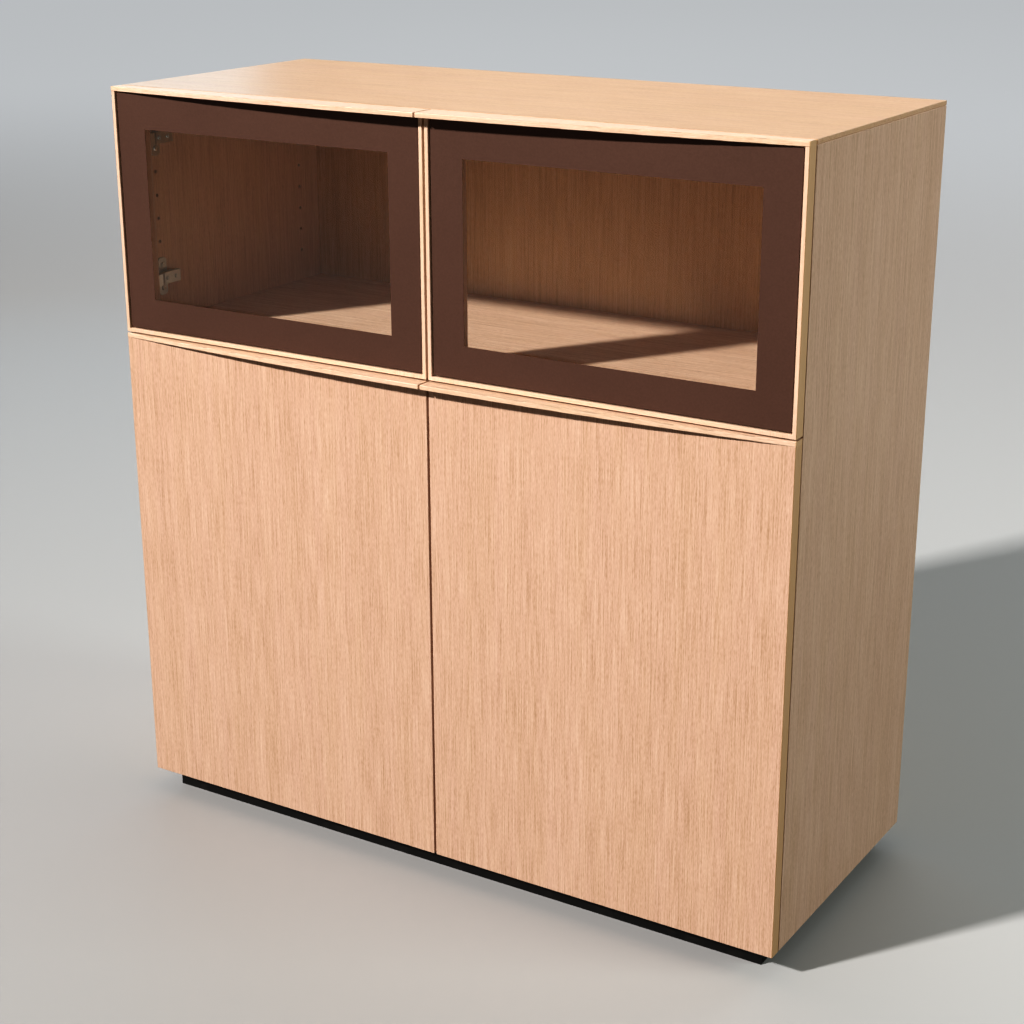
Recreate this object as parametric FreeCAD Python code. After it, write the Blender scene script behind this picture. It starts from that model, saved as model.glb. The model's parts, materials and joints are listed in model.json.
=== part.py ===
import FreeCAD, Part
import math
import os

os.makedirs("parts", exist_ok=True)

# A kitchen cabinet in oak veneer: a wide glazed compartment over a closed cupboard, two pairs of overlay doors
# on concealed hinges, and a recessed black plinth. Millimetres; the doors face -Y, +Z is up, and the origin is
# under the middle of the whole cabinet, bowed pulls included.

# Cabinet
cabinet_width = 1000.0
body_depth = 397.0
panel_thickness = 18.0
plinth_height = 30.0
edge_ease = 0.5
joint_ease = 1.0
overrun = 5.0

# Doors: they cover the whole front of the body
door_thickness = 18.0
door_standoff = 2.0
door_gap = 2.0
meeting_gap = 3.0
lower_door_height = 664.0
upper_door_height = 332.0

# Bowed pulls on the top edge of every door
pull_projection = 19.0
pull_thickness = 6.0
pull_edge_radius = 0.8

# Top panel laps over the ends of the side panels
top_lap = 6.0

# Thin back panels, let into rabbets and flush with the rear edges of the boards
back_thickness = 4.0
back_rabbet = 9.0

# Dowels that join the boards, and thinner ones in the door frames
dowel_radius = 4.0
dowel_face_depth = 12.0
dowel_end_depth = 18.0
dowel_count = 3
frame_dowel_radius = 3.0
frame_dowel_half_length = 15.0
frame_dowel_shares = (0.25, 0.75)
dowel_clearance = 0.1
row_end_share = 0.06

# Adjustable shelves and the rows of holes for their pins
shelf_front_setback = 20.0
shelf_end_clearance = 1.0
hole_pitch = 32.0
hole_radius = 2.5
hole_depth = 8.0
hole_row_setback = 37.0
rear_row_setback = 43.0
shelf_hole_count = 5
pin_length = 16.0
pin_collar_radius = 3.5
pin_collar_length = 1.5

# Plinth
plinth_rail_thickness = 18.0
plinth_side_inset = 25.0
plinth_front_setback = 5.0
plinth_back_inset = 25.0

# Glazed doors: a frame rabbeted at the front for a pane with a printed border
stile_width = 48.0
top_rail_height = 48.5
bottom_rail_height = 44.5
frame_edge = 5.5
glass_recess = 2.5
glass_thickness = 4.0
glass_clearance = 2.0
border_thickness = 0.3
border_side_width = 53.0
border_top_width = 53.5
border_bottom_width = 49.5

# Concealed hinges, measured from the outer side face of the cabinet and from the door's face
upper_hinge_end = 69.0
lower_hinge_end = 76.0
cup_diameter = 35.0
cup_edge_distance = 4.0
cup_depth = 10.5
cup_wall = 0.8
cup_clearance = 0.1
cup_wing_thickness = 1.0
cup_wing_width = 13.0
cup_wing_half_span = 28.5
cup_screw_offset = 9.5
cup_screw_half_span = 22.5
cup_pin_from_side = 11.0
cup_pin_from_face = 13.5
arm_pin_from_side = 34.0
arm_pin_from_face = 22.0
hinge_pin_radius = 1.25
hinge_pin_clearance = 0.05
link_thickness = 2.4
link_width = 9.0
link_eye_radius = 2.6
link_bend_shares = ((0.36, 0.235), (0.76, 0.305))
arm_width = 16.0
arm_wall = 1.5
arm_nose_radius = 3.2
arm_crank_start = 18.0
arm_crank_length = 8.0
arm_length = 58.0
arm_rear_top = 15.0
arm_rear_bottom = 7.6
arm_nose_opening = 4.0
arm_screw_radius = 3.0
arm_screw_head = 1.2
arm_screws_from_rear = (9.0, 26.0)
saddle_clearance = 0.3
plate_thickness = 2.0
plate_width = 16.0
plate_half_span = 26.0
saddle_length = 34.0

# Screws: head radius, head height, shank radius and length of each kind
screw_clearance = 0.05
plate_screw_sizes = (3.6, 1.4, 2.45, 13.0)
cup_screw_sizes = (3.4, 1.3, 1.75, 10.0)
back_screw_sizes = (3.0, 1.8, 1.5, 22.0)
back_screw_columns = 4
upper_back_screw_rows = 2
lower_back_screw_rows = 3

# Soft bumpers between the doors and the body
bumper_radius = 3.5
bumper_squeeze = 0.3
lower_bumper_end = 50.0
bumper_side_distance = 12.0

# Places that follow from the sizes above
half_width = cabinet_width / 2
half_inside = half_width - panel_thickness
total_depth = body_depth + door_standoff + door_thickness + pull_projection
back_y = total_depth / 2
body_front_y = back_y - body_depth
door_back_y = body_front_y - door_standoff
door_face_y = door_back_y - door_thickness
back_panel_front_y = back_y - back_thickness
lower_door_bottom = plinth_height
lower_door_top = lower_door_bottom + lower_door_height
upper_door_bottom = lower_door_top + door_gap
upper_door_top = upper_door_bottom + upper_door_height
cabinet_top = upper_door_top
top_underside = cabinet_top - panel_thickness
side_top = cabinet_top - top_lap
bottom_top = plinth_height + panel_thickness
deck_middle = lower_door_top + door_gap / 2
deck_underside = deck_middle - panel_thickness / 2
deck_top = deck_middle + panel_thickness / 2
partition_half = panel_thickness / 2
hole_row_front_y = body_front_y + hole_row_setback
hole_row_back_y = back_panel_front_y - rear_row_setback
door_outer_x = -half_width
door_inner_x = -meeting_gap / 2

upper_pitches = math.floor((upper_door_height - 2 * upper_hinge_end) / hole_pitch)
lower_pitches = math.floor((lower_door_height - 2 * lower_hinge_end) / hole_pitch)
upper_hinge_low = upper_door_bottom + upper_hinge_end
lower_hinge_low = lower_door_bottom + lower_hinge_end
upper_hinges = [upper_hinge_low, upper_hinge_low + upper_pitches * hole_pitch]
lower_hinges = [lower_hinge_low, lower_hinge_low + lower_pitches * hole_pitch]
upper_front_holes = [upper_hinge_low + hole_pitch * (1.5 + i) for i in range(upper_pitches - 2)]
upper_rear_holes = [upper_hinge_low + hole_pitch * (i - 0.5) for i in range(upper_pitches + 2)]
shelf_first_pitch = (lower_pitches - shelf_hole_count) // 2
lower_holes = [lower_hinge_low + hole_pitch * (0.5 + shelf_first_pitch + i) for i in range(shelf_hole_count)]
shelf_underside = lower_holes[shelf_hole_count // 2] + hole_radius


def block(x0, x1, y0, y1, z0, z1):
    """A straight panel between two corners."""
    return Part.makeBox(x1 - x0, y1 - y0, z1 - z0, FreeCAD.Vector(x0, y0, z0))


def rod(radius, start, direction, length):
    """A round bar from a start point."""
    return Part.makeCylinder(radius, length, FreeCAD.Vector(*start), FreeCAD.Vector(*direction))


def mirrored(shape):
    """The right-hand twin of a left-hand piece."""
    return shape.mirror(FreeCAD.Vector(0, 0, 0), FreeCAD.Vector(1, 0, 0))


def both_sides(shape):
    return [shape, mirrored(shape)]


def cut_all(shape, tools):
    return shape.cut(Part.makeCompound(tools)) if tools else shape


def eased(piece, *lines, ease=edge_ease):
    """Takes the sharpness off straight edges. A line gives the two coordinates that an edge keeps all along."""
    edges = [edge for edge in piece.Edges
             if any(all(abs(getattr(vertex.Point, axis) - value) < edge_ease / 2
                        for vertex in edge.Vertexes for axis, value in line.items()) for line in lines)]
    return piece.makeChamfer(ease, edges)


def prism(points, width):
    """A flat profile in the plane seen from above, thickened evenly up and down about its middle."""
    corners = [FreeCAD.Vector(x, y, -width / 2) for x, y in points]
    return Part.Face(Part.makePolygon(corners + corners[:1])).extrude(FreeCAD.Vector(0, 0, width))


def save(name, shapes):
    """Writes one node, a single solid or a group of separate ones."""
    shape = shapes[0] if len(shapes) == 1 else Part.makeCompound(shapes)
    shape.exportStep("parts/%s.step" % name)
    print(name, len(shape.Solids), "solids", round(shape.Volume / 1000, 1), "cm3", shape.isValid())


# Screws

def screw(sizes, countersunk):
    """A screw along +Z whose head starts at the origin: a raised head lies below it, a countersunk one above."""
    head_radius, head_height, shank_radius, length = sizes
    if countersunk:
        outline = [(0, 0), (head_radius, 0), (shank_radius, head_height), (shank_radius, length), (0, length)]
    else:
        outline = [(0, -head_height), (head_radius, -head_height), (head_radius, 0), (shank_radius, 0),
                   (shank_radius, length), (0, length)]
    corners = [FreeCAD.Vector(r, 0, z) for r, z in outline]
    face = Part.Face(Part.makePolygon(corners + corners[:1]))
    return face.revolve(FreeCAD.Vector(0, 0, 0), FreeCAD.Vector(0, 0, 1), 360)


def screw_hole(sizes, countersunk):
    """The room that a screw takes, with clearance."""
    head_radius, head_height, shank_radius, length = sizes
    loose = [head_radius + screw_clearance, head_height, shank_radius + screw_clearance, length + screw_clearance]
    return screw(loose, countersunk)


def aimed(shape, place, direction):
    """Turns a piece made along +Z to another direction and moves its origin."""
    turned = shape.copy()
    rotation = FreeCAD.Rotation(FreeCAD.Vector(0, 0, 1), FreeCAD.Vector(*direction))
    turned.Placement = FreeCAD.Placement(FreeCAD.Vector(*place), rotation)
    return turned


def even_places(low, high, count):
    """Places from near one end to near the other."""
    margin = (high - low) * row_end_share
    return [low + margin + (high - low - 2 * margin) * i / (count - 1) for i in range(count)]


def back_screw_places():
    """Where screws hold the two back panels: along the top, the deck, the bottom, the sides and the partition."""
    side_x = half_inside + back_rabbet / 2
    upper_rows = [top_underside + back_rabbet / 2, deck_middle + panel_thickness / 4]
    lower_rows = [deck_middle - panel_thickness / 4, plinth_height + panel_thickness / 2]
    columns = even_places(-half_inside, half_inside, back_screw_columns)
    places = [(x, z) for z in upper_rows + lower_rows for x in columns]
    middle_rows = upper_back_screw_rows + 2
    upper_sides = even_places(upper_rows[1], upper_rows[0], middle_rows)[1:-1]
    lower_sides = even_places(lower_rows[1], lower_rows[0], lower_back_screw_rows + 2)[1:-1]
    places += [(x, z) for x in (-side_x, side_x) for z in upper_sides + lower_sides]
    return places + [(0, z) for z in lower_sides]


back_screw_solids = [aimed(screw(back_screw_sizes, True), (x, back_y, z), (0, -1, 0))
                     for x, z in back_screw_places()]
back_screw_holes = [aimed(screw_hole(back_screw_sizes, True), (x, back_y, z), (0, -1, 0))
                    for x, z in back_screw_places()]


# Dowels

def carcass_dowels(spare):
    """Dowels that run from the end of one board into the face of another, with spare room all round for a bore."""
    radius = dowel_radius + spare
    length = dowel_face_depth + dowel_end_depth + 2 * spare
    rows = even_places(body_front_y, back_panel_front_y, dowel_count)
    levels = [(top_underside + side_top) / 2, deck_middle, plinth_height + panel_thickness / 2]
    outer_end = half_inside + dowel_face_depth + spare
    dowels = [rod(radius, (-s * outer_end, y, z), (s, 0, 0), length) for s in (-1, 1) for y in rows for z in levels]
    dowels += [rod(radius, (0, y, deck_underside + dowel_face_depth + spare), (0, 0, -1), length) for y in rows]
    dowels += [rod(radius, (0, y, bottom_top - dowel_face_depth - spare), (0, 0, 1), length) for y in rows]
    return dowels


dowel_bores = carcass_dowels(dowel_clearance)


# Carcass panels

def hole_row(x, direction, y, heights):
    """Blind holes for pins, drilled one above the other into a panel face."""
    return [rod(hole_radius, (x, y, z), (direction, 0, 0), hole_depth) for z in heights]


def plate_screw_places(heights):
    return [z + s * hole_pitch / 2 for z in heights for s in (-1, 1)]


def left_side():
    """Side panel with a rabbet at the rear for the back panels, rows of pin holes and hinge plate screws."""
    panel = block(-half_width, -half_inside, body_front_y, back_y, plinth_height, side_top)
    panel = eased(panel, dict(x=-half_width, z=side_top), ease=joint_ease)
    panel = eased(panel, dict(x=-half_width, y=body_front_y), dict(x=-half_width, y=back_y),
                  dict(x=-half_width, z=plinth_height), dict(x=-half_inside, y=body_front_y))
    rabbet = block(-half_inside - back_rabbet, -half_inside + overrun, back_panel_front_y, back_y + overrun,
                   plinth_height - overrun, side_top + overrun)
    holes = hole_row(-half_inside, -1, hole_row_front_y, upper_front_holes + lower_holes)
    holes += hole_row(-half_inside, -1, hole_row_back_y, upper_rear_holes + lower_holes)
    for z in plate_screw_places(upper_hinges + lower_hinges):
        place = (-half_inside + plate_thickness, hole_row_front_y, z)
        holes.append(aimed(screw_hole(plate_screw_sizes, False), place, (-1, 0, 0)))
    return cut_all(panel, [rabbet] + holes + dowel_bores + back_screw_holes)


def top_panel():
    """Top with a rabbet under each end, where it laps over a side panel, and one along the back."""
    panel = block(-half_width, half_width, body_front_y, back_y, top_underside, cabinet_top)
    end = block(-half_width - overrun, -half_inside, body_front_y - overrun, back_y + overrun,
                top_underside - overrun, side_top)
    rear = block(-half_inside - back_rabbet, half_inside + back_rabbet, back_panel_front_y, back_y + overrun,
                 top_underside - overrun, top_underside + back_rabbet)
    lines = [dict(y=y, z=cabinet_top) for y in (body_front_y, back_y)] + [dict(y=body_front_y, z=top_underside)]
    for x in (-half_width, half_width):
        lines += [dict(x=x, z=cabinet_top)] + [dict(x=x, y=y) for y in (body_front_y, back_y)]
    panel = cut_all(panel, both_sides(end) + [rear])
    panel = eased(panel, dict(x=-half_width, z=side_top), dict(x=half_width, z=side_top), ease=joint_ease)
    panel = eased(panel, *lines)
    return cut_all(panel, dowel_bores + back_screw_holes)


def level_board(z0, z1):
    """A board between the side panels, up to the back panels."""
    board = block(-half_inside, half_inside, body_front_y, back_panel_front_y, z0, z1)
    board = eased(board, dict(y=body_front_y, z=z0), dict(y=body_front_y, z=z1))
    return cut_all(board, dowel_bores + back_screw_holes)


def centre_partition():
    panel = block(-partition_half, partition_half, body_front_y, back_panel_front_y, bottom_top, deck_underside)
    panel = eased(panel, dict(x=-partition_half, y=body_front_y), dict(x=partition_half, y=body_front_y))
    holes = [hole for direction in (-1, 1) for y in (hole_row_front_y, hole_row_back_y)
             for hole in hole_row(-direction * partition_half, direction, y, lower_holes)]
    return cut_all(panel, holes + dowel_bores + back_screw_holes)


def back_panel(z0, z1):
    panel = block(-half_inside - back_rabbet, half_inside + back_rabbet, back_panel_front_y, back_y, z0, z1)
    return cut_all(panel, back_screw_holes)


def left_shelf():
    """Loose shelf on four pins."""
    front_y = body_front_y + shelf_front_setback
    board = block(-half_inside + shelf_end_clearance, -partition_half - shelf_end_clearance, front_y,
                  back_panel_front_y - shelf_end_clearance, shelf_underside, shelf_underside + panel_thickness)
    return eased(board, dict(y=front_y, z=shelf_underside), dict(y=front_y, z=shelf_underside + panel_thickness))


def shelf_pins():
    """Pins with a collar against the panel, two in each end of both shelves."""
    pins = []
    z = shelf_underside - hole_radius
    for x, direction in ((-half_inside, 1), (-partition_half, -1)):
        for y in (hole_row_front_y, hole_row_back_y):
            deep = x - direction * hole_depth
            pin = rod(hole_radius - screw_clearance, (deep, y, z - screw_clearance), (direction, 0, 0), pin_length)
            collar = rod(pin_collar_radius, (x, y, z - pin_collar_radius + hole_radius), (direction, 0, 0),
                         pin_collar_length)
            pins += both_sides(pin.fuse(collar).removeSplitter())
    return pins


sides = both_sides(left_side())
save("left_side_panel", sides[:1])
save("right_side_panel", sides[1:])
save("top_panel", [top_panel()])
save("middle_deck", [level_board(deck_underside, deck_top)])
save("bottom_panel", [level_board(plinth_height, bottom_top)])
save("centre_partition", [centre_partition()])
save("upper_back_panel", [back_panel(deck_middle, top_underside + back_rabbet)])
save("lower_back_panel", [back_panel(plinth_height, deck_middle)])
shelves = both_sides(left_shelf())
save("left_shelf", shelves[:1])
save("right_shelf", shelves[1:])
save("shelf_pins", shelf_pins())
save("carcass_dowels", carcass_dowels(0))
save("back_panel_screws", back_screw_solids)


# Plinth: a frame of rails, set in on all sides

plinth_half = half_width - plinth_side_inset
plinth_front_y = body_front_y + plinth_front_setback
plinth_back_y = back_y - plinth_back_inset
rail_front_y = plinth_front_y + plinth_rail_thickness
rail_back_y = plinth_back_y - plinth_rail_thickness

save("plinth_front_rail", [block(-plinth_half, plinth_half, plinth_front_y, rail_front_y, 0, plinth_height)])
save("plinth_back_rail", [block(-plinth_half, plinth_half, rail_back_y, plinth_back_y, 0, plinth_height)])
side_rails = both_sides(block(-plinth_half, -plinth_half + plinth_rail_thickness, rail_front_y, rail_back_y,
                              0, plinth_height))
save("plinth_left_rail", side_rails[:1])
save("plinth_right_rail", side_rails[1:])
save("plinth_cross_rail", [block(-plinth_rail_thickness / 2, plinth_rail_thickness / 2, rail_front_y, rail_back_y,
                                 0, plinth_height)])


# Concealed hinges. Each is made at the left side with its middle at height zero, x from the side's outer face
# and y from the door's face, and then moved to its place.

cup_radius = cup_diameter / 2
cup_middle = cup_edge_distance + cup_radius
cup_floor_y = door_thickness - cup_depth
cup_screw_x = cup_middle + cup_screw_offset
carcass_y = door_thickness + door_standoff
plate_row_y = carcass_y + hole_row_setback
arm_rear_y = carcass_y + arm_length
arm_pin = (arm_pin_from_side, arm_pin_from_face)
cup_pin = (cup_pin_from_side, cup_pin_from_face)


def hinge_pin(place, half_length):
    return rod(hinge_pin_radius, (place[0], place[1], -half_length), (0, 0, 1), 2 * half_length)


def hinge_cup():
    """Pressed cup with its pin across the mouth and a wing plate for two screws on the back of the door."""
    outer = rod(cup_radius - cup_clearance, (cup_middle, cup_floor_y, 0), (0, 1, 0), cup_depth)
    room = rod(cup_radius - cup_clearance - cup_wall, (cup_middle, cup_floor_y + cup_wall, 0), (0, 1, 0),
               cup_depth + overrun)
    wing = block(cup_screw_x - cup_wing_width / 2, cup_screw_x + cup_wing_width / 2, door_thickness,
                 door_thickness + cup_wing_thickness, -cup_wing_half_span, cup_wing_half_span)
    ends = [edge for edge in wing.Edges if abs(edge.tangentAt(edge.FirstParameter).y) > 0.9]
    wing = wing.makeFillet(cup_wing_width / 3, ends)
    pin = hinge_pin(cup_pin, cup_radius).common(outer)
    holes = [aimed(screw_hole(cup_screw_sizes, False), place, (0, -1, 0)) for place in cup_screw_places()]
    cup = cut_all(outer.fuse(wing).removeSplitter(), [room, pin] + holes)
    return [cup, pin]


def cup_screw_places():
    return [(cup_screw_x, door_thickness + cup_wing_thickness, s * cup_screw_half_span) for s in (-1, 1)]


def cup_bore():
    """The drilling for a cup and its two screws in the back of a door."""
    bore = rod(cup_radius, (cup_middle, cup_floor_y - cup_clearance, 0), (0, 1, 0),
               cup_depth + cup_clearance + overrun)
    return [bore] + [aimed(screw_hole(cup_screw_sizes, False), place, (0, -1, 0)) for place in cup_screw_places()]


def bent_strip(points, thickness, width):
    """A strip of even thickness that follows a line of straight runs, with mitred bends."""
    sides = [[], []]
    for i, point in enumerate(points):
        before = points[max(i - 1, 0)]
        after = points[min(i + 1, len(points) - 1)]
        runs = [r for r in ((point[0] - before[0], point[1] - before[1]), (after[0] - point[0], after[1] - point[1]))
                if math.hypot(*r) > 0]
        normals = [(-r[1] / math.hypot(*r), r[0] / math.hypot(*r)) for r in runs]
        mean = (sum(n[0] for n in normals) / len(normals), sum(n[1] for n in normals) / len(normals))
        reach = thickness / 2 / (mean[0] ** 2 + mean[1] ** 2)
        for side, sign in zip(sides, (1, -1)):
            side.append((point[0] + sign * mean[0] * reach, point[1] + sign * mean[1] * reach))
    return prism(sides[0] + sides[1][::-1], width)


def hinge_link():
    """Bent link between the arm's pin and the cup's pin, with an eye round each."""
    run = (arm_pin[0] - cup_pin[0], arm_pin[1] - cup_pin[1])
    bends = [(cup_pin[0] + run[0] * along + run[1] * across, cup_pin[1] + run[1] * along - run[0] * across)
             for along, across in link_bend_shares]
    link = bent_strip([cup_pin] + bends + [arm_pin], link_thickness, link_width)
    for place in (cup_pin, arm_pin):
        link = link.fuse(rod(link_eye_radius, (*place, -link_width / 2), (0, 0, 1), link_width))
    link = link.removeSplitter()
    eye = hinge_pin_radius + hinge_pin_clearance
    return cut_all(link, [rod(eye, (*place, -link_width), (0, 0, 1), 2 * link_width) for place in (cup_pin, arm_pin)])


def hinge_arm():
    """Cranked channel that clips over the mounting plate, with two slotted screws and the link's pin in its ears."""
    nose_top = arm_pin[0] + arm_nose_radius
    nose_bottom = arm_pin[0] - arm_nose_radius
    crank_y = carcass_y + arm_crank_start
    crank_end_y = crank_y + arm_crank_length
    rear_top = panel_thickness + arm_rear_top
    rear_bottom = panel_thickness + arm_rear_bottom
    body = prism([(nose_top, arm_pin[1]), (nose_top, crank_y), (rear_top, crank_end_y), (rear_top, arm_rear_y),
                  (rear_bottom, arm_rear_y), (rear_bottom, crank_end_y), (nose_bottom, crank_y),
                  (nose_bottom, arm_pin[1])], arm_width)
    nose = rod(arm_nose_radius, (*arm_pin, -arm_width / 2), (0, 0, 1), arm_width)
    body = body.fuse(nose).removeSplitter()
    opening_y = arm_pin[1] + arm_nose_opening
    channel = prism([(0, 0), (nose_top + overrun, 0), (nose_top + overrun, opening_y),
                     (nose_top - arm_wall, opening_y), (nose_top - arm_wall, crank_y),
                     (rear_top - arm_wall, crank_end_y), (rear_top - arm_wall, arm_rear_y + overrun),
                     (0, arm_rear_y + overrun)], arm_width - 2 * arm_wall)
    pin = hinge_pin(arm_pin, arm_width / 2)
    shanks = []
    screws = []
    for distance in arm_screws_from_rear:
        y = arm_rear_y - distance
        head = rod(arm_screw_radius, (rear_top, y, 0), (1, 0, 0), arm_screw_head)
        shanks.append(rod(arm_screw_radius / 2, (rear_top - arm_wall, y, 0), (1, 0, 0), arm_wall))
        slot = block(rear_top + arm_screw_head / 2, rear_top + arm_screw_head + overrun,
                     y - arm_screw_radius / 6, y + arm_screw_radius / 6,
                     -arm_screw_radius - overrun, arm_screw_radius + overrun)
        screws.append(head.fuse(shanks[-1]).removeSplitter().cut(slot))
    return [cut_all(body, [channel, pin] + shanks), pin] + screws


def hinge_plate():
    """Winged plate screwed into the hole row, with the saddle that carries the arm."""
    top = panel_thickness + plate_thickness
    wings = block(panel_thickness, top, plate_row_y - plate_width / 2, plate_row_y + plate_width / 2,
                  -plate_half_span, plate_half_span)
    ends = [edge for edge in wings.Edges if abs(edge.tangentAt(edge.FirstParameter).x) > 0.9]
    wings = wings.makeFillet(plate_width / 3, ends)
    saddle_half = arm_width / 2 - arm_wall - saddle_clearance
    saddle_rear = arm_rear_y - arm_wall
    saddle = block(panel_thickness, panel_thickness + arm_rear_top - arm_wall - saddle_clearance,
                   saddle_rear - saddle_length, saddle_rear, -saddle_half, saddle_half)
    holes = [aimed(screw_hole(plate_screw_sizes, False), (top, plate_row_y, s * hole_pitch / 2), (-1, 0, 0))
             for s in (-1, 1)]
    return cut_all(wings.fuse(saddle).removeSplitter(), holes)


def plate_screws():
    top = panel_thickness + plate_thickness
    return [aimed(screw(plate_screw_sizes, False), (top, plate_row_y, s * hole_pitch / 2), (-1, 0, 0))
            for s in (-1, 1)]


def cup_screws():
    return [aimed(screw(cup_screw_sizes, False), place, (0, -1, 0)) for place in cup_screw_places()]


def at_hinges(pieces, heights):
    """Copies of pieces at the hinge heights of a left-hand door."""
    placed = []
    for z in heights:
        for piece in pieces:
            copy = piece.copy()
            copy.translate(FreeCAD.Vector(-half_width, door_face_y, z))
            placed.append(copy)
    return placed


def with_twins(pieces):
    return pieces + [mirrored(piece) for piece in pieces]


for row, heights in (("upper", upper_hinges), ("lower", lower_hinges)):
    save("%s_hinge_plates" % row, with_twins(at_hinges([hinge_plate()], heights)))
    save("%s_hinge_arms" % row, with_twins(at_hinges(hinge_arm(), heights)))
    for name, pieces in (("hinge_links", [hinge_link()]), ("hinge_cups", hinge_cup()), ("cup_screws", cup_screws())):
        left = at_hinges(pieces, heights)
        save("%s_left_%s" % (row, name), left)
        save("%s_right_%s" % (row, name), [mirrored(piece) for piece in left])
save("hinge_plate_screws", with_twins(at_hinges(plate_screws(), upper_hinges + lower_hinges)))


# Door pieces, made for the left-hand doors

def pull(door_top):
    """Top cap of a door. One shallow arc bows its front edge out from the cabinet's side to its middle."""
    ends = [FreeCAD.Vector(-half_width, door_face_y, 0), FreeCAD.Vector(half_width, door_face_y, 0)]
    bow = Part.Arc(ends[0], FreeCAD.Vector(0, door_face_y - pull_projection, 0), ends[1]).toShape()
    back = [FreeCAD.Vector(half_width, door_back_y, 0), FreeCAD.Vector(-half_width, door_back_y, 0)]
    rest = Part.makePolygon([ends[1]] + back + [ends[0]])
    outline = Part.Wire([bow] + rest.Edges)
    cap = Part.Face(outline).extrude(FreeCAD.Vector(0, 0, pull_thickness))
    cap.translate(FreeCAD.Vector(0, 0, door_top - pull_thickness))
    half = cap.common(block(-half_width, door_inner_x, door_face_y - pull_projection - overrun, door_back_y,
                            door_top - pull_thickness, door_top))
    front = [edge for edge in half.Edges if isinstance(edge.Curve, Part.Circle)]
    rear_lines = [dict(y=door_back_y, z=z) for z in (door_top, door_top - pull_thickness)]
    rear_lines += [dict(y=door_back_y, x=x) for x in (door_outer_x, door_inner_x)]
    return eased(half.makeFillet(pull_edge_radius, front), *rear_lines)


def cup_bores(heights):
    return at_hinges(cup_bore(), heights)


frame_top = upper_door_top - pull_thickness
glass_face_y = door_face_y + glass_recess
glass_back_y = glass_face_y + glass_thickness
glass_x0 = door_outer_x + frame_edge
glass_x1 = door_inner_x - frame_edge
glass_z0 = upper_door_bottom + frame_edge
rail_x0 = door_outer_x + stile_width
rail_x1 = door_inner_x - stile_width
bottom_rail_top = upper_door_bottom + bottom_rail_height
top_rail_bottom = upper_door_top - top_rail_height


def glass_room():
    """The rabbet at the front of a door frame, which the pane fills."""
    return block(glass_x0, glass_x1, door_face_y - overrun, glass_back_y, glass_z0, frame_top + overrun)


def frame_dowels(spare):
    """Dowels across the joints between stiles and rails, behind the pane, with spare room all round for a bore."""
    radius = frame_dowel_radius + spare
    reach = frame_dowel_half_length + spare
    y = (glass_back_y + door_back_y) / 2
    heights = [low + (high - low) * share for share in frame_dowel_shares
               for low, high in ((upper_door_bottom, bottom_rail_top), (top_rail_bottom, frame_top))]
    return [rod(radius, (x - reach, y, z), (1, 0, 0), 2 * reach) for x in (rail_x0, rail_x1) for z in heights]


def frame_piece(x0, x1, z0, z1, bores):
    """A stile or rail, eased along the door's outline and along the lips that hold the pane."""
    lines = [dict(x=x, y=y) for x in (door_outer_x, door_inner_x) for y in (door_face_y, door_back_y)]
    lines += [dict(z=upper_door_bottom, y=y) for y in (door_face_y, door_back_y)]
    lines += [dict(z=upper_door_bottom, x=x) for x in (door_outer_x, door_inner_x)]
    lines += [dict(y=door_face_y, x=x) for x in (glass_x0, glass_x1)] + [dict(y=door_face_y, z=glass_z0)]
    lines += [dict(y=door_back_y, z=z) for z in (bottom_rail_top, top_rail_bottom, frame_top)]
    piece = eased(block(x0, x1, door_face_y, door_back_y, z0, z1).cut(glass_room()), *lines)
    return cut_all(piece, bores + frame_dowels(dowel_clearance))


def pane():
    return block(glass_x0 + glass_clearance, glass_x1 - glass_clearance, glass_face_y, glass_back_y,
                 glass_z0 + glass_clearance, frame_top - glass_clearance)


def printed_border():
    """The opaque print round the pane's sight window."""
    ring = block(glass_x0 + glass_clearance, glass_x1 - glass_clearance, glass_face_y - border_thickness,
                 glass_face_y, glass_z0 + glass_clearance, frame_top - glass_clearance)
    window = block(door_outer_x + border_side_width, door_inner_x - border_side_width,
                   glass_face_y - overrun, glass_face_y + overrun,
                   upper_door_bottom + border_bottom_width, upper_door_top - border_top_width)
    return ring.cut(window)


def bumpers(places):
    """Soft buttons on the back of a door, a little short of the body."""
    return [rod(bumper_radius, (x, door_back_y, z), (0, 1, 0), door_standoff - bumper_squeeze) for x, z in places]


upper_bumper_x = door_inner_x - bumper_side_distance
partition_bumper_x = (door_inner_x - partition_half) / 2
upper_door = {
    "hinge_stile": [frame_piece(door_outer_x, rail_x0, upper_door_bottom, frame_top, cup_bores(upper_hinges))],
    "meeting_stile": [frame_piece(rail_x1, door_inner_x, upper_door_bottom, frame_top, [])],
    "bottom_rail": [frame_piece(rail_x0, rail_x1, upper_door_bottom, bottom_rail_top, [])],
    "top_rail": [frame_piece(rail_x0, rail_x1, top_rail_bottom, frame_top, [])],
    "frame_dowels": frame_dowels(0),
    "glass": [pane()],
    "glass_border": [printed_border()],
    "pull": [pull(upper_door_top)],
    "bumpers": bumpers([(upper_bumper_x, (deck_top + upper_door_bottom) / 2),
                        (upper_bumper_x, (cabinet_top + top_underside) / 2)]),
}
lower_panel = block(door_outer_x, door_inner_x, door_face_y, door_back_y, lower_door_bottom,
                    lower_door_top - pull_thickness)
lower_panel = lower_panel.makeChamfer(edge_ease, lower_panel.Edges)
lower_door = {
    "door_panel": [cut_all(lower_panel, cup_bores(lower_hinges))],
    "pull": [pull(lower_door_top)],
    "bumpers": bumpers([(partition_bumper_x, lower_door_bottom + lower_bumper_end),
                        (partition_bumper_x, lower_door_top - lower_bumper_end)]),
}
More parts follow.
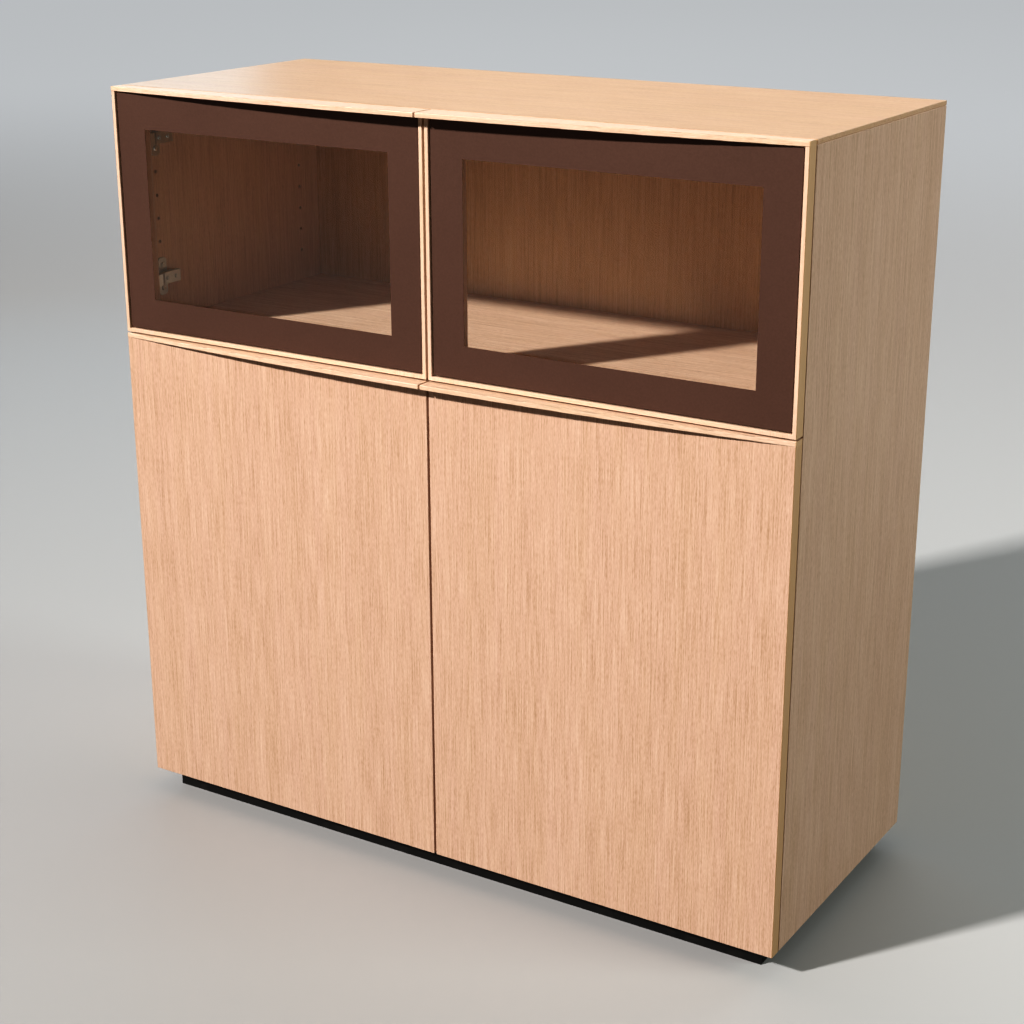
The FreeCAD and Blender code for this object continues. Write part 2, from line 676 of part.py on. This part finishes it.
for row, door in (("upper", upper_door), ("lower", lower_door)):
    for name, pieces in door.items():
        save("%s_left_%s" % (row, name), pieces)
        save("%s_right_%s" % (row, name), [mirrored(piece) for piece in pieces])

print("arm pin at", -half_width + arm_pin_from_side, door_face_y + arm_pin_from_face)
print("cup pin at", -half_width + cup_pin_from_side, door_face_y + cup_pin_from_face)
print("hinge heights", upper_hinges, lower_hinges, "pin holes", upper_front_holes, upper_rear_holes, lower_holes)
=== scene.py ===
# %% [markdown]
# An oak kitchen cabinet with glazed doors.
#
# The cabinet arrives as finished solids: boards, doors, panes, pulls and hinges, each in its place. This lesson
# dresses them. It sets the camera, then makes the oak, the glass, the brown print and the plated steel as
# materials that are worked out from a surface's own place in space, with no pictures. The small screws are
# modelled anew, because their cross recesses show as soon as a door is open. A plain studio comes last.

# %% Load the cabinet
import bmesh
import bpy
import json
import math
from mathutils import Matrix, Vector

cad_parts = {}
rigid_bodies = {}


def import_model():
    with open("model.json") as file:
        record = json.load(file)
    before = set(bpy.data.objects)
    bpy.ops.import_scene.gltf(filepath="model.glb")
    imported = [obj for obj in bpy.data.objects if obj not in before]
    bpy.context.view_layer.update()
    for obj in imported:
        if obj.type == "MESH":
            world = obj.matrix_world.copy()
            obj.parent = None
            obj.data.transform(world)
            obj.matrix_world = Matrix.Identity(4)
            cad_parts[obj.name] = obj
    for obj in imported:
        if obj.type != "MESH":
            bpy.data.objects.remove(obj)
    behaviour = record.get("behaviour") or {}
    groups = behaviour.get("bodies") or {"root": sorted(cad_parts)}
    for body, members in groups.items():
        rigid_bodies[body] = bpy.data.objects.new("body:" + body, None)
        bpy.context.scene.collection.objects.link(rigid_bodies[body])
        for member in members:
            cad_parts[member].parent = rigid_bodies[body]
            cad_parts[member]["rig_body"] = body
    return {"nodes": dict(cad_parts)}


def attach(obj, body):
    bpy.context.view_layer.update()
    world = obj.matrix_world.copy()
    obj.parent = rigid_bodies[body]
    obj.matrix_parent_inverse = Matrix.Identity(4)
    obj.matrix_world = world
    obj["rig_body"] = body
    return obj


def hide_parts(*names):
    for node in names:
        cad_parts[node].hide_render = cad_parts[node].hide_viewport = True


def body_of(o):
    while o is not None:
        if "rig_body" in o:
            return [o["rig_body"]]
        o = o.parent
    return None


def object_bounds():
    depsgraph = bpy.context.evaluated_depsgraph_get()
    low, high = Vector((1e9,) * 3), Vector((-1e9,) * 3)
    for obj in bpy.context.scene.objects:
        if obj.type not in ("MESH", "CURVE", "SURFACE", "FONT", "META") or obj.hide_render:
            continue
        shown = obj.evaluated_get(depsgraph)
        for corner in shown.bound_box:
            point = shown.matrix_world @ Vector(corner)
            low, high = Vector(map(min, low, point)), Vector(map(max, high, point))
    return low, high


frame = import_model()
cad_low, cad_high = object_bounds()
nodes = frame["nodes"]
print("cabinet box", [round(v, 3) for v in cad_low], [round(v, 3) for v in cad_high])

# %% [markdown]
# The camera stands to the right of the doors, a little above the top, and looks down on the cabinet. Its place
# and its lens were worked out from the cabinet's straight edges: three sets of parallel edges meet in three
# vanishing points, and these fix the direction of view and the focal length. A long lens from a few metres away
# keeps the cabinet's upright edges nearly parallel.

# %% Camera
camera_place = Vector((1.3268, -2.1211, 1.3208))
camera_turn = math.radians(32.026)
camera_tilt = math.radians(18.909)
camera_roll = math.radians(0.162)
lens_mm = 67.82
sensor_mm = 36.0
farthest_seen = 100.0

camera_data = bpy.data.cameras.new("photographers_camera")
camera_data.lens = lens_mm
camera_data.sensor_width = sensor_mm
camera_data.sensor_fit = "HORIZONTAL"
camera_data.clip_end = farthest_seen
camera = bpy.data.objects.new("photographers_camera", camera_data)
heading = Matrix.Rotation(camera_turn, 4, "Z")
pitch = Matrix.Rotation(math.pi / 2 - camera_tilt, 4, "X")
roll = Matrix.Rotation(-camera_roll, 4, "Z")
camera.matrix_world = Matrix.Translation(camera_place) @ heading @ pitch @ roll
bpy.context.collection.objects.link(camera)
bpy.context.scene.camera = camera
print("camera at", tuple(round(v, 3) for v in camera_place), "lens", lens_mm, "mm")

# %% [markdown]
# A material is a small network of nodes. Written out call by call it hides the idea, so two helpers come first.
# A Wire is what comes out of a node, and it can be used in ordinary sums: each sum quietly adds a Math node.
# `1 - mask` then reads as it should.

# %% Wires
class Wire:
    """A number or colour that varies over a surface. Numbers can be used in Python sums."""

    def __init__(self, recipe, socket):
        self.recipe = recipe
        self.socket = socket

    def math(self, operation, first, second=0.0):
        return self.recipe.add("ShaderNodeMath", {"operation": operation}, {0: first, 1: second})

    def __add__(self, other):
        return self.math("ADD", self, other)

    def __sub__(self, other):
        return self.math("SUBTRACT", self, other)

    def __rsub__(self, other):
        return self.math("SUBTRACT", other, self)

    def __mul__(self, other):
        return self.math("MULTIPLY", self, other)

    def __pow__(self, other):
        return self.math("POWER", self, other)

    def __abs__(self):
        return self.math("ABSOLUTE", self)

    __radd__ = __add__
    __rmul__ = __mul__


print("wires ready")

# %% [markdown]
# A Recipe owns one material. Its method `add` makes any node, and the short methods after it make the few that
# come up again and again. A Mix node keeps a pair of inputs for each kind of value, so the two colours are told
# apart from the others by their numbers.

# %% Recipes
mix_first, mix_second, mix_result = 6, 7, 2


class Recipe:
    """One material and the nodes in it."""

    def __init__(self, name):
        self.material = bpy.data.materials.new(name)
        self.material.use_nodes = True
        self.tree = self.material.node_tree
        self.tree.nodes.clear()

    def add(self, kind, settings=None, inputs=None, output=0):
        """Makes a node, sets it up, feeds its sockets and gives back one of its outputs as a Wire."""
        node = self.tree.nodes.new(kind)
        for key, value in (settings or {}).items():
            setattr(node, key, value)
        for key, value in (inputs or {}).items():
            if isinstance(value, Wire):
                self.tree.links.new(value.socket, node.inputs[key])
            else:
                node.inputs[key].default_value = value
        return Wire(self, node.outputs[output])

    def place(self):
        """Where a point lies in space, in metres."""
        return self.add("ShaderNodeTexCoord", output="Object")

    def noise(self, place, scale, detail, roughness=0.5):
        """Soft random spots from about 0 to 1, with so many to the metre."""
        return self.add("ShaderNodeTexNoise", None,
                        {"Vector": place, "Scale": scale, "Detail": detail, "Roughness": roughness})

    def rise(self, value, start, end, top=1.0):
        """A number that goes from 0 to its top while the value goes from start to end."""
        return self.add("ShaderNodeMapRange", None,
                        {"Value": value, "From Min": start, "From Max": end, "To Max": top})

    def blend(self, share, first, second):
        """A colour on the way from the first to the second. Each is a Wire or red, green and blue."""
        first, second = (tone if isinstance(tone, Wire) else (*tone, 1) for tone in (first, second))
        return self.add("ShaderNodeMix", {"data_type": "RGBA"},
                        {"Factor": share, mix_first: first, mix_second: second}, mix_result)

    def show(self, shader):
        """Ends the recipe with the shader that the surface shows."""
        output = self.tree.nodes.new("ShaderNodeOutputMaterial")
        self.tree.links.new(shader.socket, output.inputs["Surface"])
        return self.material

    def coat(self, inputs):
        """Ends the recipe with the all-round Principled shader."""
        return self.show(self.add("ShaderNodeBsdfPrincipled", None, inputs))


print("recipes ready")

# %% [markdown]
# Wood, and drawn steel too, is a pattern of lines. One noise texture gives them: a Mapping node shrinks the
# coordinate along the grain before the noise reads it, which draws the spots out into lines. The pattern lives
# in space and not on a surface, so it runs on round every edge, and two doors differ just as two sheets from
# one log do.

# %% Lines along the grain
def lines(recipe, place, axis, across, length, detail=2.0, roughness=0.6):
    """A noise of fine lines along an axis, from about 0 to 1: their width and length are in metres."""
    drawn_out = tuple(across / length if i == axis else 1.0 for i in range(3))
    stretched = recipe.add("ShaderNodeMapping", {"vector_type": "POINT"}, {"Vector": place, "Scale": drawn_out})
    return recipe.noise(stretched, 1 / across, detail, roughness)


print("lines ready")

# %% [markdown]
# The veneer is quarter-cut oak, sliced so that its grain runs in fine straight lines. Seen close, it has lines
# of several scales: thin fibres a millimetre wide and some centimetres long, short flecks between them, streaks
# of several fibres that are paler or darker together, and broad soft bands between honey and pink. Short dark
# pores lie among the fibres, and they and the fibres give the surface its faint relief.
#
# The doors and pulls have a golden edge strip on the cabinet's ends. It is laid on by place: wherever such a
# piece comes within a millimetre of the end plane, its colour turns to that of the strip.

# %% Oak
end_plane = cad_high[0]
strip_begins = end_plane - 0.0008
strip_is_full = end_plane - 0.0006
strip_tone = (0.53, 0.35, 0.19)


def oak(name, axis, tones, contrast=1.0, satin=0.42, banded=False):
    """Straight-grained oak under a thin satin lacquer, its grain along an axis: 0 is X, 1 is Y and 2 is Z."""
    dark, honey, pink, pale = tones
    recipe = Recipe(name)
    place = recipe.place()
    fibres = lines(recipe, place, axis, across=0.0013, length=0.080, detail=3.0)
    flecks = lines(recipe, place, axis, across=0.0010, length=0.007, detail=1.0)
    streaks = lines(recipe, place, axis, across=0.0040, length=0.200)
    bands = lines(recipe, place, axis, across=0.030, length=0.800, detail=1.0)
    hue = lines(recipe, place, axis, across=0.022, length=0.350)
    pores = lines(recipe, place, axis, across=0.0009, length=0.018, detail=1.0)
    fine = (fibres - 0.5) * 1.35 + (flecks - 0.5) * 0.75 + (streaks - 0.5) * 0.30
    tone = 0.5 + fine * contrast + (bands - 0.5) * 0.20
    base = recipe.blend(recipe.rise(hue, 0.2, 0.8), honey, pink)
    lit = recipe.blend(recipe.rise(tone, 0.5, 0.95), base, pale)
    worn = recipe.blend(recipe.rise(tone, 0.5, 0.05), lit, dark)
    pits = recipe.rise(pores, 0.64, 0.72, 0.45 * contrast)
    colour = recipe.blend(pits, worn, dark)
    if banded:
        across_cabinet = recipe.add("ShaderNodeSeparateXYZ", None, {"Vector": place}, "X")
        strip = recipe.rise(abs(across_cabinet), strip_begins, strip_is_full, 0.8)
        colour = recipe.blend(strip, colour, strip_tone)
    relief = recipe.add("ShaderNodeBump", None, {"Strength": 0.12, "Distance": 0.0003, "Height": fibres - pits})
    return recipe.coat({"Base Color": colour, "Roughness": satin + (streaks - 0.5) * 0.15,
                        "Specular IOR Level": 0.35, "Normal": relief})


print("oak recipe ready")

# %% [markdown]
# Each kind of board has four tones, from the dark of its pores over honey and pink to its palest fibres. The deck
# and the left end panel are paler than the doors. This is painted light, which brightens the sunlit deck and the
# shaded inner wall beside it. The back's deeper orange-gold is painted shade: the warm cast of light bounced round
# the closed compartment. The pulls and the narrow lips of the door frames are solid oak, creamier than the veneer
# and with less contrast.

# %% Tones of the boards
veneer_tones = [(0.39, 0.26, 0.17), (0.57, 0.41, 0.315), (0.585, 0.418, 0.344), (0.68, 0.535, 0.447)]
# left end panel: paler tones, painted light for the shaded inner wall
wall_tones_painted_light = [(0.50, 0.33, 0.20), (0.73, 0.53, 0.34), (0.76, 0.54, 0.39), (0.85, 0.66, 0.49)]
top_tones = [(0.39, 0.235, 0.135), (0.555, 0.375, 0.225), (0.575, 0.38, 0.26), (0.65, 0.485, 0.335)]
# deck: paler tones, painted light for the sunlit deck
deck_tones_painted_light = [(0.50, 0.34, 0.245), (0.73, 0.55, 0.42), (0.75, 0.56, 0.455), (0.84, 0.69, 0.58)]
# back panel: deep orange tones, painted shade for light bounced round the closed compartment
back_tones_painted_shade = [(0.48, 0.27, 0.115), (0.69, 0.44, 0.20), (0.71, 0.45, 0.225), (0.81, 0.58, 0.33)]
solid_tones = [(0.50, 0.36, 0.25), (0.67, 0.52, 0.39), (0.70, 0.525, 0.45), (0.77, 0.65, 0.55)]

along, upright = 0, 2
oak_upright = oak("oak_veneer_upright", upright, veneer_tones)
oak_door = oak("oak_veneer_door", upright, veneer_tones, banded=True)
oak_wall_painted_light = oak("oak_veneer_wall_painted_light", upright, wall_tones_painted_light, contrast=0.8)
oak_level = oak("oak_veneer_level", along, veneer_tones)
oak_top = oak("oak_veneer_top", along, top_tones, satin=0.34)
oak_deck_painted_light = oak("oak_veneer_deck_painted_light", along, deck_tones_painted_light, contrast=1.3)
oak_back_painted_shade = oak("oak_veneer_back_painted_shade", upright, back_tones_painted_shade, contrast=0.9)
solid_upright = oak("solid_oak_upright", upright, solid_tones, contrast=0.7, banded=True)
solid_level = oak("solid_oak_level", along, solid_tones, contrast=0.7, banded=True)
print("nine kinds of oak ready")

# %% [markdown]
# Glass that bends light blocks the lamps in a path tracer unless it is sampled for a long time. A thin flat
# pane hardly moves what lies behind it, so it is made from two plain shaders: Transparent lets everything
# through, and Glossy mirrors the room. Their mix follows Schlick's rule: 4% of mirror seen head on, and nearly
# all at a grazing angle. The rule reads only how steeply the surface is seen, which is what real glass does.

# %% Clear glass
def clear_glass():
    recipe = Recipe("clear_glass")
    facing = recipe.add("ShaderNodeLayerWeight", None, {"Blend": 0.5}, "Facing")
    mirror_share = 0.04 + facing ** 5 * 0.9
    through = recipe.add("ShaderNodeBsdfTransparent", None, {"Color": (0.985, 0.99, 0.985, 1)})
    mirror = recipe.add("ShaderNodeBsdfGlossy", None, {"Color": (1, 1, 1, 1), "Roughness": 0.02})
    return recipe.show(recipe.add("ShaderNodeMixShader", None, {0: mirror_share, 1: through, 2: mirror}))


glass = clear_glass()
print("glass ready")

# %% [markdown]
# The border round each sight window is a matt chocolate-brown enamel, printed on the pane. It is almost even,
# so a trace of fine mottling and a broad change of tone are all that it needs.

# %% Brown print
def brown_print():
    recipe = Recipe("brown_print")
    place = recipe.place()
    mottle = recipe.noise(place, 420.0, 3.0)
    cloud = recipe.noise(place, 6.0, 2.0)
    tone = recipe.blend(mottle * 0.6 + cloud * 0.4, (0.077, 0.041, 0.030), (0.127, 0.069, 0.053))
    return recipe.coat({"Base Color": tone, "Roughness": 0.42 + mottle * 0.16, "Specular IOR Level": 0.4})


print_brown = brown_print()
print("print ready")

# %% [markdown]
# The hinges and screws are pressed steel with a nickel plate: a grey metal whose polish is broken by faint
# drawing lines and by small dull patches. Their colours are paler and bluer than nickel. This is painted
# reflection of a cool bright room that the plated parts mirror.

# %% Plated steel
def plated_steel(name, colour, roughness):
    recipe = Recipe(name)
    place = recipe.place()
    drawn = lines(recipe, place, 1, across=0.0004, length=0.012)
    dull = recipe.noise(place, 160.0, 3.0)
    tone = recipe.blend(dull, tuple(0.8 * c for c in colour), colour)
    relief = recipe.add("ShaderNodeBump", None, {"Strength": 0.1, "Distance": 0.0001, "Height": drawn})
    return recipe.coat({"Base Color": tone, "Metallic": 1.0, "Roughness": roughness + dull * 0.15 + drawn * 0.08,
                        "Normal": relief})


# painted reflection: the pale blue-grey of both colours stands in for a cool room mirrored in the steel
hinge_steel = plated_steel("hinge_steel", (0.66, 0.73, 0.75), 0.22)
screw_steel = plated_steel("screw_steel", (0.72, 0.77, 0.78), 0.18)
print("steel ready")

# %% [markdown]
# The plinth is black laminate, scuffed by feet and brooms. Its near-zero tone is darker than laminate and is
# partly painted shade, for the shadow under the cabinet's overhang. The bumpers are soft clear silicone.

# %% Plinth and bumpers
def black_laminate_and_painted_shade():
    recipe = Recipe("black_laminate_and_painted_shade")
    scuffs = recipe.noise(recipe.place(), 45.0, 5.0, 0.7)
    dust = recipe.rise(scuffs, 0.5, 0.75)
    # partly painted shade: the near-zero tones darken the plinth as the shadow beneath the cabinet would
    tone = recipe.blend(dust, (0.004, 0.004, 0.004), (0.014, 0.013, 0.012))
    return recipe.coat({"Base Color": tone, "Roughness": 0.45 + dust * 0.3})


def silicone():
    recipe = Recipe("clear_silicone")
    haze = recipe.noise(recipe.place(), 300.0, 2.0)
    tone = recipe.blend(haze, (0.62, 0.61, 0.57), (0.78, 0.77, 0.74))
    return recipe.coat({"Base Color": tone, "Roughness": 0.35 + haze * 0.2})


black_plinth = black_laminate_and_painted_shade()
bumper_silicone = silicone()
print("plinth and bumpers ready")

# %% [markdown]
# Now each solid gets its finish. Its name says what it is, so a short table from words in the name to a
# material covers them all. The first word that fits is used, so the order matters.

# %% Hand out the finishes
finishes = [
    ("glass_border", print_brown),
    ("glass", glass),
    ("screws", screw_steel),
    ("shelf_pins", screw_steel),
    ("hinge_stile", solid_upright),
    ("hinge", hinge_steel),
    ("bumpers", bumper_silicone),
    ("plinth", black_plinth),
    ("pull", solid_level),
    ("meeting_stile", solid_upright),
    ("rail", solid_level),
    ("dowels", solid_level),
    ("top_panel", oak_top),
    ("middle_deck", oak_deck_painted_light),
    ("back_panel", oak_back_painted_shade),
    ("left_side", oak_wall_painted_light),
    ("door_panel", oak_door),
    ("bottom_panel", oak_level),
    ("shelf", oak_level),
    ("", oak_upright),
]
for name, node in nodes.items():
    material = next(finish for word, finish in finishes if word in name)
    node.data.materials.clear()
    node.data.materials.append(material)
print("finished", len(nodes), "nodes")

# %% [markdown]
# The solids have plain screws. Here they get what a screwdriver needs: a rounded pan head, or a countersunk one
# at the back, with a cross pressed into it. The two outlines run from the screw's tip up to the rim of its flat
# top, as pairs of a radius and a height in millimetres.

# %% Outlines of the screws
def pan_outline(head, height, shank, length):
    """A pan-head screw, whose seat is at 0."""
    return [(0, -length), (0.5 * shank, -length), (shank, shank - length), (shank, 0), (head, 0),
            (head, 0.4 * height), (0.95 * head, 0.7 * height), (0.86 * head, 0.9 * height), (0.74 * head, height)]


def countersunk_outline(head, height, shank, length):
    """A countersunk screw, whose flat top lies at 0."""
    return [(0, -length), (0.5 * shank, -length), (shank, shank - length), (shank, -height),
            (0.98 * head, -0.1 * height), (0.95 * head, 0)]


plate_screw = pan_outline(head=3.6, height=1.4, shank=2.45, length=13.0)
cup_screw = pan_outline(head=3.4, height=1.3, shank=1.75, length=10.0)
back_screw = countersunk_outline(head=3.0, height=1.8, shank=1.5, length=22.0)
print("outlines of", len(plate_screw), "and", len(back_screw), "points")

# %% [markdown]
# One screw is spun from its outline. The hole in its top is closed round a cross, and the cross is pushed down
# and drawn in a little, as the punch that makes a real one does.

# %% One screw
screw_sides = 24
cross_arm = 0.58
cross_half = 0.13
cross_depth = 0.4
cross_draft = 0.6
millimetre = 0.001
same_place = 1e-6


def cross_corners(arm, half):
    """The twelve corners of a cross, in order."""
    quarter = [(arm, half), (half, half), (half, arm)]
    corners = []
    for _ in range(4):
        corners += quarter
        quarter = [(-y, x) for x, y in quarter]
    return corners


def screw_shape(outline):
    """One screw along Z as a bmesh: its outline is spun, and a cross is pressed into its top."""
    shape = bmesh.new()
    chain = [shape.verts.new((radius * millimetre, 0, height * millimetre)) for radius, height in outline]
    edges = [shape.edges.new(pair) for pair in zip(chain, chain[1:])]
    bmesh.ops.spin(shape, geom=chain + edges, axis=(0, 0, 1), cent=(0, 0, 0), angle=2 * math.pi,
                   steps=screw_sides, use_merge=True)
    bmesh.ops.remove_doubles(shape, verts=shape.verts, dist=same_place)
    rim = [edge for edge in shape.edges if edge.is_boundary]
    rim_radius, top = (size * millimetre for size in outline[-1])
    ring = [shape.verts.new((x * rim_radius, y * rim_radius, top)) for x, y in cross_corners(cross_arm, cross_half)]
    lip = [shape.edges.new((ring[i - 1], ring[i])) for i in range(len(ring))]
    bmesh.ops.triangle_fill(shape, edges=rim + lip, use_beauty=True, use_dissolve=False)
    pressed = bmesh.ops.extrude_edge_only(shape, edges=lip)["geom"]
    floor_corners = [item for item in pressed if isinstance(item, bmesh.types.BMVert)]
    floor_edges = [item for item in pressed if isinstance(item, bmesh.types.BMEdge)]
    bmesh.ops.scale(shape, vec=(cross_draft, cross_draft, 1), verts=floor_corners)
    bmesh.ops.translate(shape, vec=(0, 0, -cross_depth * rim_radius), verts=floor_corners)
    bmesh.ops.edgeloop_fill(shape, edges=floor_edges)
    bmesh.ops.recalc_face_normals(shape, faces=shape.faces)
    return shape


print("a screw has", screw_sides, "sides")

# %% [markdown]
# Copies of the screw go where the plain ones are. A node of screws is one mesh, so its separate shells are
# found first: from a vertex the search spreads along the edges until nothing new is left. The box round each
# shell says where a screw sits, and each copy keeps to the body that its plain screw belongs to.

# %% Screws in their places
def shells(mesh):
    """Lowest and highest corner of each separate shell of a mesh."""
    copy = bmesh.new()
    copy.from_mesh(mesh)
    bmesh.ops.remove_doubles(copy, verts=copy.verts, dist=same_place)
    seen = set()
    boxes = []
    for start in copy.verts:
        if start in seen:
            continue
        seen.add(start)
        shell = [start]
        for vert in shell:
            near = [edge.other_vert(vert) for edge in vert.link_edges]
            shell += [other for other in near if other not in seen]
            seen.update(near)
        boxes.append((Vector([min(vert.co[i] for vert in shell) for i in range(3)]),
                      Vector([max(vert.co[i] for vert in shell) for i in range(3)])))
    copy.free()
    return boxes


def dress_screws(name, outline, inwards=False):
    """Puts a cross-recess screw in the place of each plain one of a node. Heads face the rear, or inwards."""
    pattern = bpy.data.meshes.new("screw_pattern")
    shape = screw_shape(outline)
    shape.to_mesh(pattern)
    shape.free()
    joined = bmesh.new()
    boxes = shells(nodes[name].data)
    for low, high in boxes:
        middle = (low + high) / 2
        outward = Vector((-math.copysign(1, middle.x), 0, 0)) if inwards else Vector((0, 1, 0))
        reach = abs((high - low).dot(outward)) / 2
        seat = middle + outward * (reach - outline[-1][1] * millimetre)
        known = len(joined.verts)
        joined.from_mesh(pattern)
        joined.verts.ensure_lookup_table()
        turned = Matrix.Translation(seat) @ outward.to_track_quat("Z", "Y").to_matrix().to_4x4()
        bmesh.ops.transform(joined, matrix=turned, verts=joined.verts[known:])
    mesh = bpy.data.meshes.new(name + "_crosshead")
    joined.to_mesh(mesh)
    joined.free()
    bpy.data.meshes.remove(pattern)
    mesh.materials.append(screw_steel)
    piece = bpy.data.objects.new(name + "_crosshead", mesh)
    bpy.context.collection.objects.link(piece)
    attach(piece, body_of(nodes[name])[0])
    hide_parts(name)
    print(name, len(boxes), "screws")


dress_screws("hinge_plate_screws", plate_screw, inwards=True)
dress_screws("back_panel_screws", back_screw)
for row in ("upper", "lower"):
    for side in ("left", "right"):
        dress_screws(f"{row}_{side}_cup_screws", cup_screw)

# %% [markdown]
# The studio is a pale floor under an even grey backdrop. Where they meet a dark line would show, so the floor
# turns into the backdrop: with the distance from the cabinet its paint gives way to a glow of the backdrop's
# own tone. A smooth step of the distance does both. The floor also throws no light back up at the doors, which
# keeps the strips under the pulls dark, as they are in the photograph.

# %% Floor
floor_half = 30.0
floor_tone = (0.44, 0.455, 0.48)
backdrop_tone = (0.335, 0.345, 0.355)
black = (0, 0, 0)
fade_start = 2.5
fade_end = 10.0


def floor_paint():
    recipe = Recipe("studio_floor")
    distance = recipe.add("ShaderNodeVectorMath", {"operation": "LENGTH"}, {0: recipe.place()}, "Value")
    far = recipe.add("ShaderNodeMapRange", {"interpolation_type": "SMOOTHSTEP"},
                     {"Value": distance, "From Min": fade_start, "From Max": fade_end})
    return recipe.coat({"Base Color": recipe.blend(far, floor_tone, black), "Roughness": 0.6,
                        "Specular IOR Level": 0.15, "Emission Color": recipe.blend(far, black, backdrop_tone),
                        "Emission Strength": 1.0})


floor_mesh = bpy.data.meshes.new("studio_floor")
sheet = bmesh.new()
bmesh.ops.create_grid(sheet, x_segments=1, y_segments=1, size=floor_half)
sheet.to_mesh(floor_mesh)
sheet.free()
floor_mesh.materials.append(floor_paint())
floor = bpy.data.objects.new("studio_floor", floor_mesh)
bpy.context.collection.objects.link(floor)
floor.visible_diffuse = False
print("floor", 2 * floor_half, "m wide")

# %% [markdown]
# A view from low down looks past the end of the floor. A large even dome stands there as the backdrop. Only the
# camera sees it: it casts no light and no shadow, so the room's own light stays as it is.

# %% Backdrop
dome_radius = 45.0
dome_mesh = bpy.data.meshes.new("studio_dome")
dome_shape = bmesh.new()
bmesh.ops.create_uvsphere(dome_shape, u_segments=64, v_segments=32, radius=dome_radius)
dome_shape.to_mesh(dome_mesh)
dome_shape.free()
dome_recipe = Recipe("studio_dome")
dome_glow = dome_recipe.add("ShaderNodeEmission", None, {"Color": (*backdrop_tone, 1), "Strength": 1.0})
dome_mesh.materials.append(dome_recipe.show(dome_glow))
dome = bpy.data.objects.new("studio_dome", dome_mesh)
bpy.context.collection.objects.link(dome)
dome.visible_diffuse = False
dome.visible_glossy = False
dome.visible_shadow = False
print("dome", 2 * dome_radius, "m wide")

# %% [markdown]
# Every lamp is a rectangular softbox that stands at a place and is turned towards a target. The key light stands
# in for a low sun: it is small and far away to the front left, and high enough to reach deep into the glazed
# compartment. It is aimed above the cabinet and its beam is narrowed, so the doors grow gently darker towards
# the floor.

# %% Key light
def softbox(name, place, target, width, height, watts, colour):
    """A rectangular lamp at a place, turned towards a target."""
    data = bpy.data.lights.new(name, "AREA")
    data.shape = "RECTANGLE"
    data.size = width
    data.size_y = height
    data.energy = watts
    data.color = colour
    lamp = bpy.data.objects.new(name, data)
    lamp.location = place
    lamp.rotation_euler = (Vector(target) - Vector(place)).to_track_quat("-Z", "Y").to_euler()
    bpy.context.collection.objects.link(lamp)
    return lamp


key_target = Vector((0.0, -0.1, 0.8))
key_aim = Vector((0.0, -0.1, 2.5))
key_heading = math.radians(57.5)
key_height = math.radians(32.0)
key_distance = 16.0
key_beam = math.radians(60.0)
key_path = Vector((math.cos(key_heading) * math.cos(key_height), math.sin(key_heading) * math.cos(key_height),
                   -math.sin(key_height)))
key = softbox("key_softbox", place=key_target - key_path * key_distance, target=key_aim, width=0.93, height=0.93,
              watts=325.0, colour=(1.0, 0.94, 0.87))
key.data.spread = key_beam
print("key light", key_distance, "m away")

# %% [markdown]
# A softbox on the right lights the end panel, a weak one overhead fills the top, a wide panel lights the floor
# behind, and a low strip behind the left end draws a cool sheen across the top. A dim warm room fills the
# shadows.

# %% Fill lights and the room
softbox("side_softbox", place=(4.0, 0.9, 1.8), target=(0.5, 0.1, 0.6), width=1.6, height=1.6, watts=53.0,
        colour=(0.94, 1.0, 0.90))
softbox("ceiling_softbox", place=(0.2, 1.1, 3.1), target=(0.0, 0.0, 1.0), width=1.6, height=1.6, watts=4.5,
        colour=(1.0, 1.0, 0.92))
softbox("far_panel", place=(-3.0, 12.0, 6.0), target=(-3.0, 12.0, 0.0), width=18.0, height=12.0, watts=800.0,
        colour=(0.97, 0.99, 1.0))
softbox("sheen_strip", place=(-2.88, 2.00, 1.70), target=(-0.47, -0.10, 1.03), width=1.3, height=0.8, watts=3.6,
        colour=(0.32, 0.72, 1.0))

room = bpy.data.worlds.new("studio_room")
room.use_nodes = True
background = room.node_tree.nodes["Background"]
background.inputs["Color"].default_value = (1.0, 0.90, 0.76, 1)
background.inputs["Strength"].default_value = 0.12
bpy.context.scene.world = room
print("lights", len(bpy.data.lights))

# %% [markdown]
# The look is one of high contrast, because the photograph's shadows are almost black while its doors are bright.

# %% Look
bpy.context.scene.view_settings.view_transform = "Standard"
bpy.context.scene.view_settings.look = "Very High Contrast"
print("look", bpy.context.scene.view_settings.look)

# %% [markdown]

# %% Finish
print("done")
